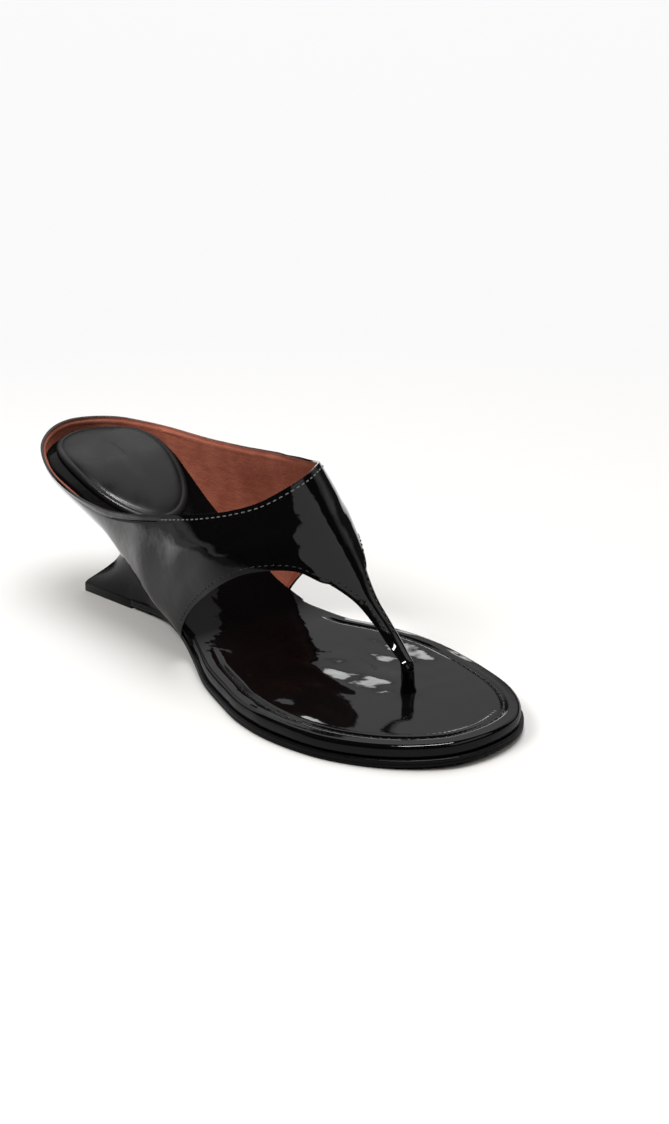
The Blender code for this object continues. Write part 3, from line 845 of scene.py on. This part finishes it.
def insole_relief(x, y, distance, arc):
    """How far the insole's top stands proud at a place: rolled rim, sewn channel and soft puckers."""
    relief = 0.0
    if distance < RIM_ROUND:
        short = RIM_ROUND - distance
        relief -= RIM_ROUND - math.sqrt(max(RIM_ROUND * RIM_ROUND - short * short, 0.0))
    front = smooth((x / LENGTH - CHANNEL_BACK) / CHANNEL_FADE)
    pucker = 0.5 + 0.5 * math.cos(2 * math.pi * arc / EDGE_SEAM.pitch)
    inward = distance - CHANNEL_INSET
    relief -= front * (CHANNEL_DEPTH + PUCKER_DEPTH * pucker) * bump(inward, CHANNEL_WIDTH)
    relief += front * OUTER_ROLL.rise * bump(inward + OUTER_ROLL.away, OUTER_ROLL.width)
    relief += front * INNER_ROLL.rise * (1 - pucker / 2) * bump(inward - INNER_ROLL.away, INNER_ROLL.width)
    post = place(*POST_FOOT, 0.0)
    reach = math.hypot(x - post.x, y - post.y)
    angle = math.atan2(y - post.y, x - post.x)
    ripple = sum(size * math.cos(count * angle + shift) for count, shift, size in RADIAL_RIPPLES)
    grown = smooth((reach - RIPPLE_START) / RIPPLE_GROWS) * math.exp(-reach / RIPPLE_REACH)
    relief += ripple * MM * grown * smooth(distance / RIM_CALM)
    relief -= POST_DENT * bump(reach, POST_DENT_WIDTH)
    slow = noise.noise(Vector((x * SWELL_SCALE[0], y * SWELL_SCALE[1], 4.0)))
    relief += SWELL * slow * smooth((distance - SWELL_START) / SWELL_GROWS)
    return relief


def make_insole():
    top_ring = insole_border(insole_top)
    low_ring = insole_border(insole_bottom)
    arcs = lengths_along(top_ring)
    ways = inward_ways(top_ring)
    form = bmesh.new()
    rows = [add_ring(form, raised(inset(low_ring, SOLE_EDGE_ROUND), insole_bottom)),
            add_ring(form, raised(low_ring, insole_bottom, LOW_ROW * MM))]
    for lift in SIDE_ROWS:
        share = lift / (INSOLE_THICKNESS / MM)
        ring = [blend(low, top, share) for low, top in zip(low_ring, top_ring)]
        rows.append(add_ring(form, raised(ring, insole_bottom, lift * MM)))
    for distance in TOP_ROWS:
        points = []
        for point, way, arc in zip(top_ring, ways, arcs):
            point = point + way * distance * MM
            point.z = insole_top(point.x, point.y) + insole_relief(point.x, point.y, distance * MM, arc)
            points.append(point)
        rows.append(add_ring(form, points))
    walls(form, rows)
    ring, count, rungs = rows[-1], len(top_ring), []
    for step in range(1, (count + 1) // 2):
        left, right = ring[step], ring[count - step]
        rung = [left]
        for share in range(1, CROSS_FACES):
            point = blend(left.co, right.co, share / CROSS_FACES)
            nearer = min(share, CROSS_FACES - share) / CROSS_FACES
            distance = TOP_ROWS[-1] * MM + nearer * (left.co - right.co).length
            point.z = insole_top(point.x, point.y) + insole_relief(point.x, point.y, distance, 0.0)
            rung.append(form.verts.new(point))
        rung.append(right)
        rungs.append(rung)
    sheet(form, rungs)
    form.faces.new([ring[0]] + rungs[0])
    if count % 2 == 0:
        form.faces.new([ring[count // 2]] + rungs[-1][::-1])
    close_across(form, rows[0])
    add_solid("insole_skin", form, PATENT_SOLE, "patent_insole", "insole")
    return top_ring


insole_rim = make_insole()


# The outsole's edge from the floor up, with a line scored round it: inset and lift in millimetres
OUTSOLE_PROFILE = ((0.55, 0.0), (0.18, 0.12), (0.0, 0.5), (0.0, 1.2), (0.22, 1.45), (0.0, 1.7), (0.0, 2.2),
                   (0.15, 2.48), (0.55, 2.6))


def make_outsole():
    outer, inner = sole_outline()
    ring = outer + inner[:0:-1]
    form = bmesh.new()
    rows = [add_ring(form, raised(inset(ring, inward * MM), outsole_bottom, lift * MM))
            for inward, lift in OUTSOLE_PROFILE]
    walls(form, rows)
    for row in (rows[0], rows[-1]):
        close_across(form, row)
    add_solid("outsole_skin", form, SOLE_LEATHER, "sole_leather", "outsole")


make_outsole()


def foot_base(x):
    return outsole_top(max(x, SOLE_BACK * LENGTH)) + SKIN_GAP


# How the foot's top tucks up inside the cover: its share down the cover, and its depth in the wall
TUCK_DOWN = 0.93
TUCK_DEPTH = 0.6
LEAST_FOOT = 0.05 * MM
JUST_ABOVE_EDGE = 0.98


def gone_at(down):
    last = len(FOOT_GONE) - 1
    slot = min(int(down * last), last - 1)
    before, after = FOOT_GONE[max(slot - 1, 0)], FOOT_GONE[min(slot + 2, last)]
    return catmull(before, FOOT_GONE[slot], FOOT_GONE[slot + 1], after, down * last - slot)


def make_heel():
    """The heel's visible foot, from just inside the cover's lower edge down the flare to the base."""
    half = list(FOOT_BASE)
    bases = [place(point.along, -point.half, 0.0) for point in half + [FOOT_BACK]]
    bases += [place(point.along, point.half, 0.0) for point in reversed(half)]
    downs = [(row + 1) / FLARE_ROWS for row in range(FLARE_ROWS)]
    rings = [[] for _ in range(len(downs) + 3)]
    for step in range(2 * len(half) * HEEL_STEPS + 1):
        turn = FOOT_RIB + step / HEEL_STEPS
        here = min(step // HEEL_STEPS, len(bases) - 2)
        base = blend(bases[here], bases[here + 1], step / HEEL_STEPS - here)
        base.z = foot_base(base.x)
        edge = cover_point(turn, 1.0)
        below = (edge - cover_point(turn, JUST_ABOVE_EDGE)).normalized() * JOINT_GAP
        joint = (inside_point(turn, TUCK_DOWN, UPPER_WALL + SKIN_GAP),
                 inside_point(turn, 1.0, UPPER_WALL * TUCK_DEPTH) + below,
                 edge + below - cover_normal(turn, 1.0) * SKIN_GAP)
        for ring, point in zip(rings, joint):
            point.z = max(point.z, base.z + LEAST_FOOT)
            ring.append(point)
        for ring, down in zip(rings[3:], downs):
            point = blend(joint[2], base, gone_at(down))
            point.z = blend(joint[2].z, base.z, down)
            ring.append(point)
    form = bmesh.new()
    rows = [add_ring(form, ring) for ring in rings]
    walls(form, rows)
    for row in (rows[0], rows[-1]):
        middle = len(row) // 2
        for step in range(middle - 1):
            form.faces.new((row[step], row[step + 1], row[-step - 2], row[-step - 1]))
        form.faces.new((row[middle - 1], row[middle], row[middle + 1]))
    heel = add_solid("heel_skin", form, PATENT_HEEL, "patent_heel", "heel")
    round_edges(heel, 0.35 * MM, 38)


make_heel()


# The top lift's upper edge, set in where it meets the heel's foot
LIFT_INSET = 0.25 * MM
LIFT_SHOULDER = 0.35 * MM
LIFT_NECK = 0.3 * MM
LIFT_CLEARANCE = 0.15 * MM


def make_top_lift():
    front_x = SOLE_BACK * LENGTH - LIFT_CLEARANCE
    back = place(FOOT_BACK.along, FOOT_BASE[5].half, 0.0)
    front = place(SOLE_BACK, LIFT_FRONT_HALF, 0.0)
    outline = ((front_x, -front.y), (front_x, front.y), (back.x, back.y), (back.x, -back.y))
    top = outsole_top(SOLE_BACK * LENGTH)
    form = bmesh.new()
    rows = []
    for inward, level in ((0.0, 0.0), (0.0, top - LIFT_SHOULDER), (LIFT_INSET, top - LIFT_NECK),
                          (LIFT_INSET, top)):
        rows.append(add_ring(form, inset([Vector((x, y, level)) for x, y in outline], inward)))
    add_tube(form, rows)
    lift = add_solid("top_lift_skin", form, LIFT_RUBBER, "top_lift", "top_lift")
    round_edges(lift, 0.5 * MM, 50)


make_top_lift()


# The padded sock from its skirt to its crown: inset and rise in millimetres. The shallow line near
# its edge is pressed into the leather. Its slow dents begin some millimetres in.
PAD_PROFILE = ((0.3, -0.2), (0.0, 0.15), (-0.12, 0.7), (-0.02, 1.2), (0.3, 1.62), (0.75, 1.88), (1.2, 1.98),
               (1.5, 1.96), (1.75, 1.80), (2.0, 1.74), (2.25, 1.84), (2.6, 2.12), (3.2, 2.34), (4.2, 2.52),
               (5.5, 2.64), (7.5, 2.76), (10.0, 2.86), (13.0, 2.94), (16.0, 2.98), (18.5, 3.0))
PAD_DENT = 0.10 * MM
PAD_DENT_SCALE = (55, 70)
PAD_DENTS_FROM = 4


def make_pad():
    """The padded sock on the heel seat, crowned and left bare where a maker would press a mark."""
    middle = PAD_MIDDLE * LENGTH
    aside = PAD_SIDE * HEEL_WIDTH / 2
    half_length = PAD_HALF_LENGTH * LENGTH
    half_across = PAD_HALF_WIDTH * HEEL_WIDTH / 2
    form = bmesh.new()
    rows = []
    for inward, rise in PAD_PROFILE:
        ring = []
        for side in range(PAD_SIDES):
            angle = 2 * math.pi * side / PAD_SIDES
            x = middle + (half_length - inward * MM) * math.cos(angle)
            y = aside + (half_across - inward * MM) * math.sin(angle)
            slow = noise.noise(Vector((x * PAD_DENT_SCALE[0], y * PAD_DENT_SCALE[1], 1.0)))
            dent = PAD_DENT * slow * smooth(inward / PAD_DENTS_FROM)
            ring.append(Vector((x, y, insole_top(x, y) + rise * MM + dent)))
        rows.append(add_ring(form, ring))
    walls(form, rows)
    form.faces.new(rows[-1])
    form.faces.new(rows[0][::-1])
    pad = add_solid("heel_pad_skin", form, PATENT_PAD, "patent_pad", "heel_pad")


make_pad()


# The toe post's ends, sunk into the insole and tucked behind the strap's tip, and shares of its radius
# by which it flares at the foot, draws in at its middle, folds and slants at its head
POST_SINK = 0.8 * MM
POST_TUCK = (1.0 * MM, 0.6 * MM)
POST_FLARE = 0.16
POST_FLARE_END = 0.25
POST_WAIST = 0.05
POST_FOLD = 0.03
POST_FOLDS = 3
POST_TWIST = 5
POST_SLANT = 0.9


def make_post():
    """The toe post: a rolled cord of leather that the strap's tip folds round."""
    foot = place(*POST_FOOT, 0.0)
    foot.z = insole_top(foot.x) - POST_SINK
    tip = STRAP_ROWS[-1].middle
    top = Vector((tip.x - POST_TUCK[0], tip.y, tip.z - POST_TUCK[1]))
    form = bmesh.new()
    rows = []
    for row in range(POST_ROWS + 1):
        share = row / POST_ROWS
        centre = blend(foot, top, share)
        flare = 1 + POST_FLARE * (1 - smooth(share / POST_FLARE_END)) - POST_WAIST * math.sin(math.pi * share)
        ring = []
        for side in range(POST_SIDES):
            angle = 2 * math.pi * side / POST_SIDES
            fold = 1 + POST_FOLD * math.cos(POST_FOLDS * angle + POST_TWIST * share)
            reach = POST_DIAMETER / 2 * flare * fold
            slant = -POST_SLANT * math.cos(angle) * reach * share
            ring.append(centre + Vector((math.cos(angle) * reach, math.sin(angle) * reach, slant)))
        rows.append(add_ring(form, ring))
    add_tube(form, rows)
    add_solid("post_skin", form, PATENT, "patent_post", "thong_post")


make_post()


# Stitches


# Shares of a thread's radius: how deep its ends sink, how far its middle stands proud, how thin it ends
SUNK_ENDS = 1.6
STANDS_PROUD = 0.35
THIN_ENDS = 0.55
THREAD_NECK = 0.08


def stitch(form, centre, way, up, seam):
    """A short sagged length of thread lying along the surface."""
    side = way.cross(up).normalized()
    rows = []
    for step in range(STITCH_RINGS):
        share = step / (STITCH_RINGS - 1)
        sink = seam.radius * SUNK_ENDS * (2 * share - 1) ** 4
        swell = math.sin(math.pi * min(max(share, THREAD_NECK), 1 - THREAD_NECK))
        thick = seam.radius * blend(THIN_ENDS, 1.0, swell)
        middle = centre + way * (share - 0.5) * seam.length + up * (seam.radius * STANDS_PROUD - sink)
        angles = [2 * math.pi * turn / STITCH_SIDES for turn in range(STITCH_SIDES)]
        rows.append(add_ring(form, [middle + (side * math.cos(angle) + up * math.sin(angle)) * thick
                                    for angle in angles]))
    add_tube(form, rows)


def sew(name, route, ups, seam, slot, thread):
    """Stitches at an even pitch along a route."""
    arcs = lengths_along(route)
    form = bmesh.new()
    spot = 0
    rng = random.Random(STITCH_SEED)
    for number in range(int(arcs[-1] / seam.pitch)):
        at = (number + 0.5) * seam.pitch + rng.uniform(-STITCH_WANDER, STITCH_WANDER) * seam.pitch
        while spot < len(arcs) - 2 and arcs[spot + 1] < at:
            spot += 1
        share = (at - arcs[spot]) / max(arcs[spot + 1] - arcs[spot], 1e-9)
        centre = blend(route[spot], route[spot + 1], share)
        up = blend(ups[spot], ups[spot + 1], share).normalized()
        way = (route[spot + 1] - route[spot]).normalized()
        way = (way - up * way.dot(up)).normalized()
        stitch(form, centre, way, up, seam)
    add_solid(name, form, thread, slot)


def cover_route(turns, by_lower_edge):
    """Along the cover, a stitch's inset in from its topline or its lower edge."""
    route, ups = [], []
    for turn in turns:
        turn = turn % len(RIBS)
        rib = rib_at(turn)
        if by_lower_edge:
            down = 1 - STITCH_INSET / (2 * (rib.edge - rib.belly).length)
        else:
            down = STITCH_INSET / (2 * (rib.belly - rib.collar).length)
        route.append(vamp_surface(turn, down))
        ups.append(cover_normal(turn, down))
    return route, ups


collar_turns = [step / COLLAR_SEAM_STEPS * COLLAR_SEAM_END
                for step in range(-COLLAR_SEAM_STEPS, COLLAR_SEAM_STEPS + 1)]
sew("collar_stitches", *cover_route(collar_turns, False), EDGE_SEAM, "patent_upper", SHEEN_GREY_THREAD)


def front_route(side):
    """Down the band's front edge to the strap and along the strap's edge to its tip."""
    turns = [side * blend(*FRONT_SEAM, step / FRONT_SEAM_STEPS) for step in range(FRONT_SEAM_STEPS + 1)]
    route, ups = cover_route(turns, True)
    edges = []
    for row in [JUNCTION] + STRAP_ROWS[:-1]:
        width = (row.outer - row.inner).length
        edges.append(strap_point(row, -side * (1 - 2 * STITCH_INSET / width)))
    line = open_curve(edges, OUTLINE_STEPS)
    across = (STRAP_ROWS[0].inner - STRAP_ROWS[0].outer).normalized()
    for spot in range(2, len(line) - 1):
        way = (line[spot + 1] - line[spot - 1]).normalized()
        up = across.cross(way).normalized()
        route.append(line[spot])
        ups.append(up if up.z > 0 else -up)
    return route, ups


for side, name in ((1, "outer_edge_stitches"), (-1, "inner_edge_stitches")):
    sew(name, *front_route(side), EDGE_SEAM, "patent_upper", DARK_THREAD)

THREAD_SINKS = 0.05 * MM


def channel_route():
    """Round the forefoot, in the bottom of the insole's channel."""
    ring = inset(insole_rim, CHANNEL_INSET)
    back = CHANNEL_BACK * LENGTH
    start = next(index for index, point in enumerate(ring) if point.x < back)
    end = next(index for index in range(len(ring) - 1, 0, -1) if ring[index].x < back)
    route = [Vector((point.x, point.y, insole_top(point.x) - (CHANNEL_DEPTH + THREAD_SINKS)))
             for point in ring[end + 1:] + ring[:start]]
    return route, [Vector((0.0, 0.0, 1.0))] * len(route)


sew("insole_stitches", *channel_route(), CHANNEL_SEAM, "patent_insole", DARK_THREAD)


# Floor, light and camera


# White paper that turns into a white backdrop with its distance from the shoe. Its image in the gloss carries
# painted shade: it is dimmed beside the shoe, far to its left and before it, seen as in the photograph.
PAPER = (0.86, 0.855, 0.845)
BACKDROP = (0.945, 0.945, 0.945)
HIDDEN = (0.0, 0.0, 0.0)
PAPER_TO_BACKDROP = (160 * MM, 480 * MM)
BESIDE_SHOE = (-90 * MM, -55 * MM)
BESIDE_SHADED_IMAGE = 0.42
FAR_LEFT = (-360 * MM, -240 * MM)
LEFT_SHADED_IMAGE = 0.28
BEFORE_SHOE = (-30 * MM, 60 * MM)
FRONT_SHADED_IMAGE = 0.5


def floor_material():
    """The paper and its backdrop. Their image in the gloss carries painted shade and is bright only behind
    the heel.
    """
    material, tree = new_material("studio floor")
    nearer = along(tree, TOWARDS)
    rightwards = along(tree, RIGHT)
    # Painted shade: the paper's image in the gloss is dimmed beside the shoe, far to its left and before it
    painted_shade_mask = multiply(tree, add_range(tree, nearer, 1.0, BESIDE_SHADED_IMAGE, *BESIDE_SHOE),
                    add_range(tree, rightwards, LEFT_SHADED_IMAGE, 1.0, *FAR_LEFT))
    image = multiply(tree, painted_shade_mask, add_range(tree, nearer, 1.0, FRONT_SHADED_IMAGE, *BEFORE_SHOE))
    paper = mix_colour(tree, seen_by(tree, "Glossy"), PAPER, image)
    distance = tree.nodes.new("ShaderNodeVectorMath")
    distance.operation = 'LENGTH'
    tree.links.new(coordinates(tree), distance.inputs[0])
    backdrop = multiply(tree, add_range(tree, distance.outputs["Value"], 0.0, 1.0, *PAPER_TO_BACKDROP),
                        seen_by(tree, "Camera"))
    dress(tree, {"Base Color": mix_colour(tree, backdrop, paper, HIDDEN), "Roughness": 0.9,
                 "Specular IOR Level": 0.1, "Emission Color": BACKDROP, "Emission Strength": backdrop})
    return material


FLOOR_REACH = 12.0
FLOOR_DROP = 0.05 * MM


def make_floor():
    form = bmesh.new()
    corners = ((-1, -1), (1, -1), (1, 1), (-1, 1))
    form.faces.new(add_ring(form, [(x * FLOOR_REACH, y * FLOOR_REACH, -FLOOR_DROP) for x, y in corners]))
    add_mesh("studio_floor", form, (floor_material(),))


make_floor()


def aim(thing, place_at, target):
    thing.location = place_at
    thing.rotation_mode = 'QUATERNION'
    thing.rotation_quaternion = (Vector(target) - Vector(place_at)).to_track_quat('-Z', 'Y')


def add_softbox(name, place_at, target, width, depth, energy):
    light = bpy.data.lights.new(name, 'AREA')
    light.shape = 'RECTANGLE'
    light.size = width
    light.size_y = depth
    light.energy = energy
    lamp = add_object(name, light)
    aim(lamp, place_at, target)
    return lamp


def seen_from(right, towards, up):
    """A place around the shoe, given by the photograph's right, nearer and up."""
    return Vector(MIDDLE) + RIGHT * right + TOWARDS * towards + Vector((0.0, 0.0, up))


def add_daylight(name, place_at, angle, strength, tint):
    """Soft even light that falls on everything and isn't mirrored as a shape in the gloss."""
    light = bpy.data.lights.new(name, 'SUN')
    light.energy = strength
    light.angle = math.radians(angle)
    light.color = tint
    lamp = add_object(name, light)
    aim(lamp, place_at, MIDDLE)
    lamp.visible_glossy = False


add_daylight("broad_day", seen_from(0.16, -0.44, 2.0), angle=38.0, strength=1.62, tint=(0.98, 1.0, 1.04))
add_daylight("open_sky", seen_from(0.0, -0.05, 2.0), angle=110.0, strength=0.84, tint=(1.07, 0.985, 0.84))
lining_lamp = add_softbox("lining_light", seen_from(-0.75, 0.35, 1.0), seen_from(-0.03, 0.0, 0.04),
                          width=0.5, depth=0.5, energy=7.0)
lining_lamp.visible_glossy = False
add_softbox("right_window", seen_from(1.48, 0.80, 1.35), MIDDLE, width=1.8, depth=1.1, energy=3.6)
glint = add_softbox("glint_strip", seen_from(0.16, 0.30, 1.42), MIDDLE, width=0.8, depth=0.11, energy=10.0)
glint.visible_diffuse = False

# The studio round the shoe, in shares: how far a direction points away, right, left or up. The wall's
# light is given by steps upwards, and the edges of each thing by their starts and ends.
WALL_EDGE = (0.30, 0.50)
WALL_LIGHT = ((0.0, 0.02), (0.22, 0.03), (0.34, 0.34), (0.45, 0.46), (0.62, 0.66), (0.82, 1.15), (0.90, 0.30),
              (1.0, 0.05))
STRIP_EDGE = (0.86, 0.93)
STRIP_TOP = (0.09, 0.17)
STRIP_LIGHT = 0.36
LAMP_LEFT = (-0.10, -0.06)
LAMP_RIGHT = (0.12, 0.16)
LAMP_FOOT = (0.08, 0.11)
LAMP_HEAD = (0.24, 0.28)
LAMP_LIGHT = 2.2
SEEN_BACKDROP = 0.93


def make_world():
    """A dim studio: a far wall that brightens upwards, a low lamp before it, a pale strip at the left."""
    world = bpy.data.worlds.new("studio")
    world.use_nodes = True
    tree = world.node_tree
    split = tree.nodes.new("ShaderNodeSeparateXYZ")
    tree.links.new(coordinates(tree, "Generated"), split.inputs["Vector"])
    upwards = split.outputs["Z"]
    away, left, right = (along(tree, way, "Generated") for way in (-TOWARDS, -RIGHT, RIGHT))
    wall = add_range(tree, away, 0.0, 1.0, *WALL_EDGE)
    rise = tree.nodes.new("ShaderNodeValToRGB")
    while len(rise.color_ramp.elements) < len(WALL_LIGHT):
        rise.color_ramp.elements.new(0.5)
    for element, (position, value) in zip(rise.color_ramp.elements, WALL_LIGHT):
        element.position = position
        element.color = (value, value, value, 1.0)
    tree.links.new(upwards, rise.inputs["Fac"])
    strip = multiply(tree, add_range(tree, left, 0.0, STRIP_LIGHT, *STRIP_EDGE),
                     add_range(tree, upwards, 1.0, 0.0, *STRIP_TOP))
    lamp = multiply(tree, window(tree, right, LAMP_LEFT, LAMP_RIGHT),
                    window(tree, upwards, LAMP_FOOT, LAMP_HEAD, LAMP_LIGHT))
    glows = combine(tree, 'ADD', strip, multiply(tree, wall, lamp))
    studio = combine(tree, 'ADD', multiply(tree, wall, rise.outputs["Color"]), glows)
    light = combine(tree, 'MULTIPLY_ADD', seen_by(tree, "Camera"), SEEN_BACKDROP, studio)
    tree.links.new(light, tree.nodes["Background"].inputs["Color"])
    bpy.context.scene.world = world


make_world()


EYE = Vector((0.4219, -0.3779, 0.2685))
LOOK = Vector((-0.697, 0.617, -0.367)).normalized()


def make_camera():
    """The photographed view: 21.5 degrees down, from ahead of the shoe on its outer side."""
    up = RIGHT.cross(LOOK).normalized()
    camera = bpy.data.cameras.new("photo_camera")
    camera.sensor_fit = 'AUTO'
    camera.sensor_width = 36.0
    camera.lens = 59.25
    camera.clip_start = 0.01
    camera.clip_end = 60.0
    holder = add_object("photo_camera", camera)
    holder.matrix_world = Matrix((*zip(RIGHT, up, -LOOK, EYE), (0.0, 0.0, 0.0, 1.0)))
    bpy.context.scene.camera = holder


make_camera()
bpy.context.scene.view_settings.view_transform = 'Standard'
